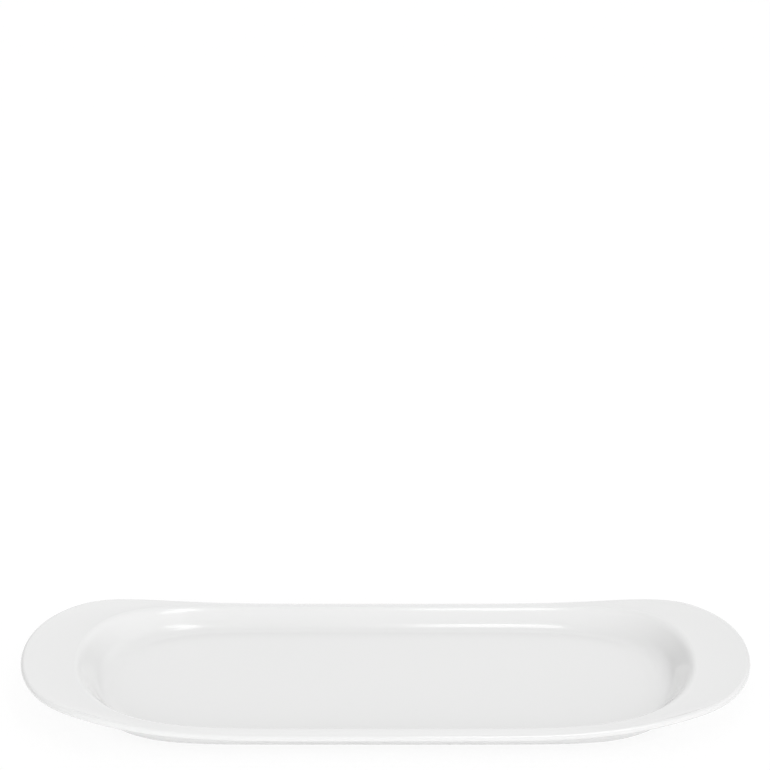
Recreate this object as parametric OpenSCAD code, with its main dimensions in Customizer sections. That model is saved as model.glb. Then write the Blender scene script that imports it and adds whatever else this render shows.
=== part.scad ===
// Long serving plate for asparagus, in one piece of glazed porcelain: a flat-floored well,
// a narrow rolled rim along each side and a wide upswept wing at each end to lift it by.
// +X runs along the plate and +Z is up. The origin is on the table, under the middle of the plate.

/* [Outline] */
// Length over both wings
plate_len = 400; // [360:5:440]
// Width over both long rims
plate_wid = 150; // [140:1:165]
// Width of a wing, from the edge of the well to the tip
wing_wid = 29; // [24:1:36]
// Width of a long rim, from the edge of the well to the outside
rim_wid = 6.2; // [5:0.2:9]

/* [Well] */
// Depth of the well at the middle of its long sides
well_depth = 9.8; // [7:0.1:12]
// Run of the well's wall along the long sides, from the floor to the edge
side_run = 14.8; // [12:0.2:18]
// Run of the well's gentler wall at the two ends
end_run = 23; // [18:1:30]

/* [Rim and wings] */
// Fall of the long rims from the edge of the well to the outside
rim_fall = 1.2; // [0.4:0.1:2]
// How much higher the tips of the wings stand than the long rims
wing_rise = 7.7; // [5:0.1:10]
// How much higher the edge of the well stands at its ends than at its sides
edge_rise = 4.3; // [2:0.1:6]
// Thickness of the outer lip
lip_t = 3.7; // [3:0.1:5]
// How far in from the outside the lip starts to round over
lip_roll = 2; // [1.5:0.1:3]

/* [Underside] */
// Thickness of the floor of the well
floor_t = 4.8; // [4:0.1:7]
// Thickness of the porcelain where the rim leaves the body
root_t = 5; // [4:0.1:6]
// How far inside the edge of the well the body's wall meets the long rims
side_root_in = 1.5; // [0.5:0.1:3]
// How far outside the edge of the well the body's wall meets the wings
end_root = 5; // [3:0.5:9]
// How far the flat base reaches past the floor of the well at the sides
side_base = 4.5; // [2:0.1:6]
// How far the flat base reaches past the floor of the well at the ends
end_base = 3; // [1:0.5:6]

/* [Foot] */
// Height of the bare foot
foot_h = 3.4; // [2.5:0.1:5]
// Width of the bare face that stands on the table
foot_w = 5; // [4:0.1:7]
// How far the foot is set in from the outside of the base
foot_in = 6; // [3:0.1:8]

/* [Hidden] */

// Points round each outline, and rings across each part of the section
ring_points = 96;
wall_rings = 12;
rim_rings = 5;
lip_rings = 6;
wing_rings = 2;
hull_rings = 9;

// How blunt the ends of each outline are, as the power of its length in a superellipse
rim_power = 6.6;
edge_power = 6.8;
floor_power = 6.8;
root_power = 6.8;
base_power = 8.5;

// Where the rims stop climbing, as a share of half the length, and how late they start to
rise_end_share = 0.85;
rise_power = 6;

// Shares of a wall's run that its round foot and its round top take, and how late the foot turns up
cove_share = 0.52;
roll_share = 0.22;
cove_power = 3;

// How late the rims turn down to the lip, and the wings up
fall_power = 1.7;

// Half lengths and half widths of the outlines, from the outside of the rim inwards
rim_half = [plate_len, plate_wid] / 2;
lip_half = rim_half - [lip_roll, lip_roll];
edge_half = rim_half - [wing_wid, rim_wid];
floor_half = edge_half - [end_run, side_run];
root_half = edge_half + [end_root, -side_root_in];
base_half = floor_half + [end_base, side_base];
foot_half = base_half - [foot_in, foot_in];
foot_inner_half = foot_half - [foot_w, foot_w];

// Heights above the table at the middle of the long sides
floor_z = foot_h + floor_t;
edge_z = floor_z + well_depth;
lip_z = edge_z - rim_fall;

// Superellipse outline through half = [half length, half width], anticlockwise from +X
function outline(half, power) = [for (i = [0:ring_points - 1])
    let (t = 360 * i / ring_points)
    [half.x * cos(t), half.y * sign(sin(t)) * sqrt(1 - pow(abs(cos(t)), power))]];

// Share of the climb to the wings that a rim has made at x: none at the middle, all at the wings
function climb(x) = let (u = min(abs(x) / (rise_end_share * rim_half.x), 1))
    pow(u, rise_power) * (rise_power + 1 - rise_power * u);

// A flat outline lifted to height z, and by rise more at the wings
function lifted(points, z, rise = 0) = [for (p = points) [p.x, p.y, z + rise * climb(p.x)]];

// Share of the way across at step k of n, closer together at both ends
function stepped(k, n) = (1 - cos(180 * k / n)) / 2;

// Height share at s along a wall: a power of s for the foot, a straight slope, a parabola for the top
function wall_share(s) = let (steep = 1 / (1 - cove_share * (1 - 1 / cove_power) - roll_share / 2))
    s < cove_share ? steep * cove_share / cove_power * pow(s / cove_share, cove_power) :
    s > 1 - roll_share ? 1 - steep * (1 - s) * (1 - s) / (2 * roll_share) :
    steep * (s - cove_share + cove_share / cove_power);

// Height share at s along a rim or a wing, level where it leaves the wall
function rim_share(s) = pow(s, fall_power);

// Ring between rings a and b, at share s of the way across and share h of the way up
function between(a, b, s, h) = [for (i = [0:ring_points - 1])
    [a[i].x + s * (b[i].x - a[i].x), a[i].y + s * (b[i].y - a[i].y), a[i].z + h * (b[i].z - a[i].z)]];

// The rings that the section is built on, from the floor over the rim and back under it to the base
floor_ring = lifted(outline(floor_half, floor_power), floor_z);
edge_ring = lifted(outline(edge_half, edge_power), edge_z, edge_rise);
lip_ring = lifted(outline(lip_half, rim_power), lip_z, wing_rise);
outside = outline(rim_half, rim_power);
under_lip_ring = [for (p = lip_ring) [p.x, p.y, p.z - lip_t]];
root_ring = lifted(outline(root_half, root_power), edge_z - root_t, edge_rise);
base_ring = lifted(outline(base_half, base_power), foot_h);

// Ring of the lip's half-round edge, at an angle from its top towards its underside
function lip_round(angle) = [for (i = [0:ring_points - 1]) let (p = lip_ring[i])
    [p.x + sin(angle) * (outside[i].x - p.x), p.y + sin(angle) * (outside[i].y - p.y),
     p.z - lip_t / 2 * (1 - cos(angle))]];

section = concat(
    [floor_ring],
    [for (k = [1:wall_rings]) let (s = stepped(k, wall_rings))
        between(floor_ring, edge_ring, s, wall_share(s))],
    [for (k = [1:rim_rings]) let (s = stepped(k, rim_rings))
        between(edge_ring, lip_ring, s, rim_share(s))],
    [for (k = [1:lip_rings]) lip_round(180 * k / lip_rings)],
    [for (k = [1:wing_rings]) let (s = k / wing_rings) between(under_lip_ring, root_ring, s, s)],
    [for (k = [1:hull_rings]) let (s = stepped(hull_rings - k, hull_rings))
        between(base_ring, root_ring, s, wall_share(s))]
);

// Closed skin over a list of rings: a band of triangles between neighbours and a flat face at each end
module skin(rings) {
    n = ring_points;
    last = len(rings) - 1;
    polyhedron(
        points = [for (ring = rings) each ring],
        faces = concat(
            [[for (i = [0:n - 1]) n - 1 - i]],
            [for (k = [0:last - 1], i = [0:n - 1]) let (j = (i + 1) % n)
                [k * n + i, k * n + j, (k + 1) * n + j]],
            [for (k = [0:last - 1], i = [0:n - 1]) let (j = (i + 1) % n)
                [k * n + i, (k + 1) * n + j, (k + 1) * n + i]],
            [[for (i = [0:n - 1]) last * n + i]]
        )
    );
}

// The glazed body: floor, walls, rims and wings
module plate_body() {
    color([0.95, 0.95, 0.94]) skin(section);
}

// The foot that the glaze is wiped off, standing on the table
module foot_ring() {
    color([0.86, 0.83, 0.78]) linear_extrude(height = foot_h) difference() {
        polygon(outline(foot_half, base_power));
        polygon(outline(foot_inner_half, base_power));
    }
}

plate_body();
foot_ring();
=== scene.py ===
import math
import bpy
import numpy as np
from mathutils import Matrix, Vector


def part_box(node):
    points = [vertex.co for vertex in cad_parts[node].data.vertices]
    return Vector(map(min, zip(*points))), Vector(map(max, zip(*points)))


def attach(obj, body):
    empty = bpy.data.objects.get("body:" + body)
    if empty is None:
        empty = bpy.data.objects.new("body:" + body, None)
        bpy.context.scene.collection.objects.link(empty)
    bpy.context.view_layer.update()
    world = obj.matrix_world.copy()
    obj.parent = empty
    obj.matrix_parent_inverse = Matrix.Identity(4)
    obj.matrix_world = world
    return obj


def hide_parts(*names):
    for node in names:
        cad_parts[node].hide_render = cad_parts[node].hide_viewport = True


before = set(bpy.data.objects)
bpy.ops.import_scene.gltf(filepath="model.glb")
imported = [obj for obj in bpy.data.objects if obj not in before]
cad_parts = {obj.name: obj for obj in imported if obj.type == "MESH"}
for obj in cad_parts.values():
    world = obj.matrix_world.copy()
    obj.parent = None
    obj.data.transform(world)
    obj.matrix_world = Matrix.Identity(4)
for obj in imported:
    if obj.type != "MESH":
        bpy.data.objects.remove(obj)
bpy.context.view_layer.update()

# White glazed asparagus plate: a flat-floored well, rolled side rims and an upswept wing at each end.
# Metres, +X along the plate, +Z up, the table at z = 0.

bodyLow, bodyHigh = (np.array(corner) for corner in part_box("plate_body"))
footLow, footHigh = (np.array(corner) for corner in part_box("foot_ring"))

# The plate's section is carried round outlines that are superellipses, |x/a|^power + (y/b)^2 = 1
plate = dict(
    length=bodyHigh[0] - bodyLow[0],    # over both wings
    width=bodyHigh[1] - bodyLow[1],     # over both long rims
    wing=0.029,                         # width of a wing, from the well's edge to the tip
    rim=0.0062,                         # width of a long rim
    endRun=0.023,                       # run of the well's end walls
    sideRun=0.0148,                     # run of its side walls
    floorZ=0.0082,                      # top of the well's floor
    wellDepth=0.0098,                   # at the middle of the long sides
    rimFall=0.0012,                     # fall of the rims from the well's edge to the lip
    wingRise=0.0077,                    # of the wing tips above the rims
    edgeRise=0.0043,                    # of the well's edge at its ends
    lipThick=0.0037,
    lipRoll=0.0020,                     # how far in from the outside the lip rounds over
    rootThick=0.005,                    # where the rim leaves the body
    endRoot=0.005,                      # how far outside the well's edge the body's wall meets a wing
    sideRoot=-0.0015,                   # and a long rim, where it lies inside the edge
    endBase=0.003,                      # how far the flat base reaches past the floor at the ends
    sideBase=0.0045,                    # and at the sides
    rimPower=6.6,                       # how blunt the ends of each outline are
    edgePower=6.8,
    floorPower=6.8,
    rootPower=6.8,
    basePower=8.5,
    climbEnd=0.85,                      # share of the half length where the rims stop climbing
    climbPower=6,                       # how late they start to climb
    coveShare=0.52,                     # share of a wall's run that its round foot takes
    covePower=3,                        # how late that foot turns up
    rollShare=0.22,                     # share that the wall's round top takes
    fallPower=1.7,                      # how late the rims turn down, and the wings up
    pointsRound=640,                    # points in each ring, and rings across each part of the section
    floorRings=3,
    wallRings=48,
    rimRings=16,
    lipRings=20,
    wingRings=8,
    hullRings=30,
    baseRings=3,
)

foot = dict(
    height=footHigh[2] - footLow[2],
    wide=0.005,                         # the face that stands on the table
    setIn=0.006,                        # from the outside of the base
    cornerRound=0.0009,                 # radius of its two lower corners
    sideRings=6,
    cornerRings=8,
)

turn = np.linspace(0, 2 * np.pi, plate["pointsRound"], endpoint=False)


def outline(half, power):
    # x is the half length times the cosine of the turn; y is the half width times
    # the root of one less the cosine's power, with the sine's sign
    c = np.cos(turn)
    y = half[1] * np.sign(np.sin(turn)) * np.sqrt(1 - np.abs(c) ** power)
    return np.stack([half[0] * c, y], axis=1)


def climb(x):
    # share of the climb to the wings at x: u to a high power, eased to end level
    u = np.minimum(np.abs(x) / (plate["climbEnd"] * plate["length"] / 2), 1)
    p = plate["climbPower"]
    return u ** p * (p + 1 - p * u)


def lifted(flat, z, rise=0.0):
    # the outline at height z, plus rise times the climb at each point
    return np.column_stack([flat, z + rise * climb(flat[:, 0])])


def wallShare(s):
    # height share along a wall: a power of s for the cove, a straight slope, a parabola for the roll
    cove, roll, p = plate["coveShare"], plate["rollShare"], plate["covePower"]
    steep = 1 / (1 - cove * (1 - 1 / p) - roll / 2)
    low = steep * cove / p * (s / cove) ** p
    high = 1 - steep * (1 - s) ** 2 / (2 * roll)
    return np.where(s < cove, low, np.where(s > 1 - roll, high, steep * (s - cove + cove / p)))


def rimShare(s):
    # height share along a rim or a wing, level where it leaves the wall
    return s ** plate["fallPower"]


def evenShare(s):
    # height share the same as the plan's
    return s


def across(a, b, rings, rule):
    # rings from a to b, closer at both ends: plan mixed evenly by s, height by the rule of s
    s = ((1 - np.cos(np.pi * np.arange(1, rings + 1) / rings)) / 2)[:, None]
    plan = a[None, :, :2] + s[:, :, None] * (b - a)[None, :, :2]
    z = a[None, :, 2] + rule(s) * (b - a)[None, :, 2]
    return np.concatenate([plan, z[:, :, None]], axis=2)


def shrunk(ring, rings, outwards):
    # rings that shrink evenly towards a point at the middle of a flat ring
    q = np.arange(1, rings) / rings
    q = q if outwards else q[::-1]
    flat = ring[None, :, :] * np.array([1, 1, 0])
    return flat * q[:, None, None] + np.array([0, 0, 1]) * ring[None, :, :]


def plateSection():
    # floor, wall, rim, lip, underside of the rim, body's wall and base, each a band between two outlines
    half = np.array([plate["length"], plate["width"]]) / 2
    edgeHalf = half - [plate["wing"], plate["rim"]]
    floorHalf = edgeHalf - [plate["endRun"], plate["sideRun"]]
    edgeZ = plate["floorZ"] + plate["wellDepth"]
    floorRing = lifted(outline(floorHalf, plate["floorPower"]), plate["floorZ"])
    edgeRing = lifted(outline(edgeHalf, plate["edgePower"]), edgeZ, plate["edgeRise"])
    lipRing = lifted(outline(half - plate["lipRoll"], plate["rimPower"]), edgeZ - plate["rimFall"],
                     plate["wingRise"])
    outside = outline(half, plate["rimPower"])
    rootHalf = edgeHalf + [plate["endRoot"], plate["sideRoot"]]
    rootRing = lifted(outline(rootHalf, plate["rootPower"]), edgeZ - plate["rootThick"], plate["edgeRise"])
    baseHalf = floorHalf + [plate["endBase"], plate["sideBase"]]
    baseRing = lifted(outline(baseHalf, plate["basePower"]), foot["height"])
    underLip = lipRing - [0, 0, plate["lipThick"]]
    # the lip is half an ellipse, from straight up at angle 0 to straight down at angle pi
    angle = (np.pi * np.arange(1, plate["lipRings"] + 1) / plate["lipRings"])[:, None]
    lipPlan = lipRing[None, :, :2] + np.sin(angle)[:, :, None] * (outside - lipRing[:, :2])[None]
    lipZ = lipRing[None, :, 2] - plate["lipThick"] / 2 * (1 - np.cos(angle))
    lip = np.concatenate([lipPlan, lipZ[:, :, None]], axis=2)
    return np.concatenate([
        shrunk(floorRing, plate["floorRings"], True), floorRing[None],
        across(floorRing, edgeRing, plate["wallRings"], wallShare),
        across(edgeRing, lipRing, plate["rimRings"], rimShare),
        lip,
        across(underLip, rootRing, plate["wingRings"], evenShare),
        across(baseRing, rootRing, plate["hullRings"], wallShare)[-2::-1], baseRing[None],
        shrunk(baseRing, plate["baseRings"], False),
    ])


def meshOf(name, rings, looped=False):
    # rings of equal count joined by quads; looped joins the last ring to the first,
    # and otherwise a point closes each end
    count, n = rings.shape[:2]
    points = rings.reshape(-1, 3)
    k = np.arange(count if looped else count - 1)[:, None]
    i = np.arange(n)[None, :]
    j = (i + 1) % n
    up = (k + 1) % count
    quads = np.stack([k * n + i, up * n + i, up * n + j, k * n + j], axis=2).reshape(-1, 4)
    faces = quads.tolist()
    if not looped:
        top, bottom = len(points), len(points) + 1
        points = np.vstack([points, rings[0].mean(axis=0), rings[-1].mean(axis=0)])
        i, j, last = i[0], j[0], (count - 1) * n
        faces += np.stack([np.full(n, top), i, j], axis=1).tolist()
        faces += np.stack([last + i, np.full(n, bottom), last + j], axis=1).tolist()
    mesh = bpy.data.meshes.new(name)
    mesh.from_pydata(points.tolist(), [], faces)
    mesh.polygons.foreach_set("use_smooth", np.ones(len(faces), bool))
    mesh.validate()
    mesh.update()
    piece = bpy.data.objects.new(name, mesh)
    bpy.context.scene.collection.objects.link(piece)
    return piece


def footSection():
    # a band with rounded lower corners, from the outer top edge down, across and up inside
    half = np.array([plate["length"], plate["width"]]) / 2
    floorHalf = half - [plate["wing"], plate["rim"]] - [plate["endRun"], plate["sideRun"]]
    outer = floorHalf + [plate["endBase"], plate["sideBase"]] - foot["setIn"]
    r, h, w = foot["cornerRound"], foot["height"], foot["wide"]
    angle = np.linspace(0, np.pi / 2, foot["cornerRings"])
    side = np.linspace(h, r, foot["sideRings"])[:-1]
    into = np.concatenate([np.zeros(len(side)), r - r * np.cos(angle), w - r + r * np.sin(angle),
                           np.full(len(side), w)])
    z = np.concatenate([side, r - r * np.sin(angle), r - r * np.cos(angle), side[::-1]])
    return np.stack([lifted(outline(outer - s, plate["basePower"]), height) for s, height in zip(into, z)])


print("stage: the plate's shape")
glazedPlate = meshOf("glazedPlate", plateSection())
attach(glazedPlate, "root")
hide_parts("plate_body")

bareFoot = meshOf("bareFoot", footSection(), looped=True)
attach(bareFoot, "root")
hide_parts("foot_ring")


class Wire:
    # a socket's value inside a node tree, with the operators that the finishes use
    def __init__(self, finish, socket):
        self.finish = finish
        self.socket = socket

    def maths(self, operation, *values):
        return self.finish.add("ShaderNodeMath", {"operation": operation}, values)

    def __add__(self, other):
        return self.maths("ADD", self, other)

    def __radd__(self, other):
        return self.maths("ADD", other, self)

    def __sub__(self, other):
        return self.maths("SUBTRACT", self, other)

    def __rsub__(self, other):
        return self.maths("SUBTRACT", other, self)

    def __mul__(self, other):
        return self.maths("MULTIPLY", self, other)

    def __rmul__(self, other):
        return self.maths("MULTIPLY", other, self)

    def __truediv__(self, other):
        return self.maths("DIVIDE", self, other)

    def __abs__(self):
        return self.maths("ABSOLUTE", self)

    def atLeast(self, low):
        return self.maths("MAXIMUM", self, low)

    def clipped(self):
        return self.maths("MINIMUM", self.atLeast(0.0), 1.0)


class Finish:
    # the nodes of one material, or of the world
    def __init__(self, owner):
        self.owner = owner
        owner.use_nodes = True
        self.tree = owner.node_tree
        self.tree.nodes.clear()

    def add(self, kind, settings=None, values=(), out=0):
        # settings first, then sockets by number or by name: links for wires, defaults for the rest
        node = self.tree.nodes.new(kind)
        for key, value in (settings or {}).items():
            setattr(node, key, value)
        pairs = values.items() if isinstance(values, dict) else enumerate(values)
        for key, value in pairs:
            if isinstance(value, Wire):
                self.tree.links.new(value.socket, node.inputs[key])
            else:
                node.inputs[key].default_value = value
        return Wire(self, node.outputs[out]) if len(node.outputs) else None

    def place(self):
        return self.add("ShaderNodeTexCoord", out="Object")

    def part(self, vector, axis):
        return self.add("ShaderNodeSeparateXYZ", {}, {"Vector": vector}, out=axis)

    def ray(self, kind):
        return self.add("ShaderNodeLightPath", out=kind)

    def noise(self, scale, detail=2.0, rough=0.5):
        values = {"Vector": self.place(), "Scale": scale, "Detail": detail, "Roughness": rough}
        return self.add("ShaderNodeTexNoise", {}, values, out="Fac")

    def between(self, share, a, b):
        values = {"Factor": share, 6: a, 7: b}
        return self.add("ShaderNodeMix", {"data_type": "RGBA"}, values, out=2)

    def bump(self, height, strength, depth):
        values = {"Height": height, "Strength": strength, "Distance": depth}
        return self.add("ShaderNodeBump", {}, values)

    def done(self, shader, kind="ShaderNodeOutputMaterial"):
        self.add(kind, {}, {"Surface": shader})
        return self.owner


print("stage: finishes")
glaze = dict(
    white=(0.85, 0.85, 0.847, 1),       # clear glaze over the white porcelain
    thick=(0.838, 0.84, 0.838, 1),      # where the glaze lies a little thicker
    gloss=0.11,                         # roughness of the glaze
    glossDrift=0.04,                    # how much rougher it gets in places
    refraction=1.5,
    coat=0.4,                           # weight of the clearer skin on top
    coatGloss=0.04,
    orangePeel=260.0,                   # fine waves of the surface per metre
    peelShare=0.35,                     # height of the fine waves beside the long ones
    longerWaves=6,                      # how many times longer the long waves are
    peelDepth=0.00004,                  # height of the waves
    peelStrength=0.35,                  # share of that height that the light shows
    drift=14.0,                         # slow drift of tone per metre
)


def glazeFinish():
    f = Finish(bpy.data.materials.new("glazedPorcelain"))
    slow = f.noise(glaze["drift"])
    tone = f.between(slow, glaze["white"], glaze["thick"])
    peel = f.noise(glaze["orangePeel"], detail=1.0)
    waves = f.noise(glaze["orangePeel"] / glaze["longerWaves"], detail=1.0)
    shader = f.add("ShaderNodeBsdfPrincipled", {}, {
        "Base Color": tone,
        "Roughness": glaze["gloss"] + glaze["glossDrift"] * slow,
        "IOR": glaze["refraction"],
        "Coat Weight": glaze["coat"],
        "Coat Roughness": glaze["coatGloss"],
        "Normal": f.bump(peel * glaze["peelShare"] + waves, glaze["peelStrength"], glaze["peelDepth"]),
    })
    return f.done(shader)


bare = dict(
    pale=(0.74, 0.715, 0.66, 1),        # bare fired porcelain
    rubbed=(0.62, 0.59, 0.54, 1),       # greyed by tables and other plates
    grain=1400.0,                       # grains per metre
    grainDepth=0.00005,                 # height of the grain
    grainStrength=0.6,                  # share of that height that the light shows
    grainTone=0.6,                      # share of the mottling that follows the grain
    rubs=35.0,                          # rubbed patches per metre
    roughness=0.82,
    glazedRoughness=0.12,               # where the glaze runs down the side of the foot
    glazeEnd=0.0016,                    # height at which the glaze stops
    glazeBlur=0.0003,
    wobble=60.0,                        # waves of the glaze's edge per metre
    wobbleHeight=0.0006,                # how far up and down the edge wavers in all
)


def footFinish():
    # glazed goes from 0 below the glaze's end to 1 above it, over a short blur and along a wavering line
    f = Finish(bpy.data.materials.new("barePorcelain"))
    z = f.part(f.place(), "Z")
    wobble = (f.noise(bare["wobble"]) - 0.5) * bare["wobbleHeight"]
    level = (z - bare["glazeEnd"] + wobble) * (1 / bare["glazeBlur"]) + 0.5
    glazed = level.clipped()
    grain = f.noise(bare["grain"], detail=3.0, rough=0.6)
    rubs = f.noise(bare["rubs"], detail=3.0)
    mottle = grain * bare["grainTone"] + rubs * (1 - bare["grainTone"])
    body = f.between(mottle, bare["pale"], bare["rubbed"])
    shader = f.add("ShaderNodeBsdfPrincipled", {}, {
        "Base Color": f.between(glazed, body, glaze["white"]),
        "Roughness": bare["roughness"] - glazed * (bare["roughness"] - bare["glazedRoughness"]),
        "IOR": glaze["refraction"],
        "Coat Weight": glazed * glaze["coat"],
        "Coat Roughness": glaze["coatGloss"],
        "Normal": f.bump(grain * (1 - glazed), bare["grainStrength"], bare["grainDepth"]),
    })
    return f.done(shader)


glazedPlate.data.materials.append(glazeFinish())
bareFoot.data.materials.append(footFinish())

print("stage: table, light and camera")
studio = dict(
    backdrop=1.0,                       # the white that the camera sees behind the plate
    room=0.868,                         # walls and ceiling all round
    frontCard=1.75,                     # added low in front, as by a white card that mirrors nowhere
    leftWall=-0.48,                     # added low at the left
    rightWall=-0.05,                    # added low at the right
    leftCeiling=0.10,                   # added high at the left
    rightCeiling=0.5,                   # added high at the right
    backCeiling=0.43,                   # added high behind the plate
    backGlow=0.50,                      # added low, straight behind the plate
    glowHalf=0.42,                      # half width of that glow, as a share of its distance
    nearest=0.05,                       # least distance that the share is taken of
    wallTop=0.25,                       # upward share of a direction at which the walls end
    sideStart=0.35,                     # sideways share at which a side begins
    fade=3.0,                           # how fast one side fades into the next
    table=0.92,                         # how white the table is where it lights the plate from below
    shadowShare=0.12,                   # of real shading left in the table that the camera sees
    shadingLevel=0.85,                  # how bright that shading is in the open
    tableHalf=6.0,                      # half the table's side
    tableDrop=0.0001,                   # the table lies this far below the foot's face
)

# softboxes, with their power in watts; both mirror in the foot of the well's far wall, the first brightest
# right of the middle and the second in the left corner
overhead = dict(at=(0.084, -0.235, 1.0), aim=(0.084, 0.03, 0), size=(0.12, 0.45), power=0.47)
sideLamp = dict(at=(0.222, -0.484, 1.03), aim=(-0.115, 0.055, 0.012), size=(0.26, 0.30), power=0.65)

view = dict(
    pixels=770,                         # the picture is square
    distance=2.5,                       # from the camera to the middle of the plate
    downTilt=29.8,                      # degrees that the camera looks down on the plate
    pixelsPerMetre=1815.0,              # at the middle of the plate
    plateAt=(385.6, 695.3),             # pixel where the plate's origin falls, to within one
    sensor=0.036,                       # width of the camera's sensor
    clipEnd=50.0,                       # how far the camera sees
)


def tableFinish():
    # white to the camera and in reflections, with a share of real shading left for the shadow
    f = Finish(bpy.data.materials.new("whiteTable"))
    shown = (f.ray("Is Camera Ray") + f.ray("Is Glossy Ray") + f.ray("Is Transmission Ray")).clipped()
    share = studio["shadowShare"]
    plain = f.add("ShaderNodeBsdfDiffuse", {}, {"Color": (studio["table"],) * 3 + (1,)})
    soft = f.add("ShaderNodeBsdfDiffuse", {}, {"Color": (share, share, share, 1)})
    glow = f.add("ShaderNodeEmission", {}, {"Strength": 1 - share * studio["shadingLevel"]})
    white = f.add("ShaderNodeAddShader", {}, (soft, glow))
    return f.done(f.add("ShaderNodeMixShader", {}, (shown, plain, white)))


def setTable():
    size = studio["tableHalf"]
    mesh = bpy.data.meshes.new("table")
    z = -studio["tableDrop"]
    corners = [(-size, -size, z), (size, -size, z), (size, size, z), (-size, size, z)]
    mesh.from_pydata(corners, [], [(0, 1, 2, 3)])
    table = bpy.data.objects.new("table", mesh)
    bpy.context.scene.collection.objects.link(table)
    mesh.materials.append(tableFinish())


def setWorld():
    # an even room by direction: a side's brightness is added where the direction leans far enough to it
    world = bpy.data.worlds.new("studio")
    bpy.context.scene.world = world
    f = Finish(world)
    way = f.place()
    x = f.part(way, "X")
    y = f.part(way, "Y")
    z = f.part(way, "Z")

    def towards(lean, start):
        return ((lean - start) * studio["fade"]).clipped()

    high = towards(z, studio["wallTop"])
    low = 1 - high
    left = towards(0 - x, studio["sideStart"])
    right = towards(x, studio["sideStart"])
    front = towards(0 - y, studio["sideStart"])
    back = towards(y, studio["sideStart"])
    aside = abs(x) / y.atLeast(studio["nearest"])
    behind = ((studio["glowHalf"] - aside) * studio["fade"]).clipped()
    card = front * studio["frontCard"] * (1 - f.ray("Is Glossy Ray"))
    walls = card + left * studio["leftWall"] + right * studio["rightWall"] + behind * studio["backGlow"]
    ceiling = left * studio["leftCeiling"] + right * studio["rightCeiling"] + back * studio["backCeiling"]
    light = walls * low + ceiling * high + studio["room"]
    room = f.add("ShaderNodeBackground", {}, {"Strength": light})
    backdrop = f.add("ShaderNodeBackground", {}, {"Color": (1, 1, 1, 1), "Strength": studio["backdrop"]})
    shader = f.add("ShaderNodeMixShader", {}, (f.ray("Is Camera Ray"), room, backdrop))
    f.done(shader, "ShaderNodeOutputWorld")


def addLamp(name, values):
    # a rectangular softbox at a place, turned to face a point
    lamp = bpy.data.lights.new(name, "AREA")
    lamp.shape = "RECTANGLE"
    lamp.size = values["size"][0]
    lamp.size_y = values["size"][1]
    lamp.energy = values["power"]
    holder = bpy.data.objects.new(name, lamp)
    bpy.context.scene.collection.objects.link(holder)
    ray = np.array(values["aim"]) - np.array(values["at"])
    ray = ray / np.linalg.norm(ray)
    holder.location = values["at"]
    holder.rotation_euler = (math.acos(-ray[2]), 0, math.atan2(ray[1], ray[0]) - math.pi / 2)


def setCamera():
    # looks at the plate's origin from distance and downTilt, then turns so that the origin falls near
    # plateAt: each turn's tangent is the pixels from the picture's middle over the lens in pixels
    lens = view["pixelsPerMetre"] * view["distance"]
    lift = math.atan((view["plateAt"][1] - view["pixels"] / 2) / lens)
    swing = math.atan((view["pixels"] / 2 - view["plateAt"][0]) / lens)
    tilt = math.radians(view["downTilt"])
    camera = bpy.data.cameras.new("camera")
    camera.sensor_width = view["sensor"] * 1000         # Blender takes it in millimetres
    camera.lens = camera.sensor_width * lens * math.cos(lift) / view["pixels"]
    camera.clip_end = view["clipEnd"]
    holder = bpy.data.objects.new("camera", camera)
    bpy.context.scene.collection.objects.link(holder)
    holder.location = (0, -view["distance"] * math.cos(tilt), view["distance"] * math.sin(tilt))
    holder.rotation_euler = (math.pi / 2 - tilt + lift, 0, -swing)
    bpy.context.scene.camera = holder


setTable()
setWorld()
addLamp("overhead", overhead)
addLamp("sideLamp", sideLamp)
setCamera()
bpy.context.scene.view_settings.view_transform = "Standard"
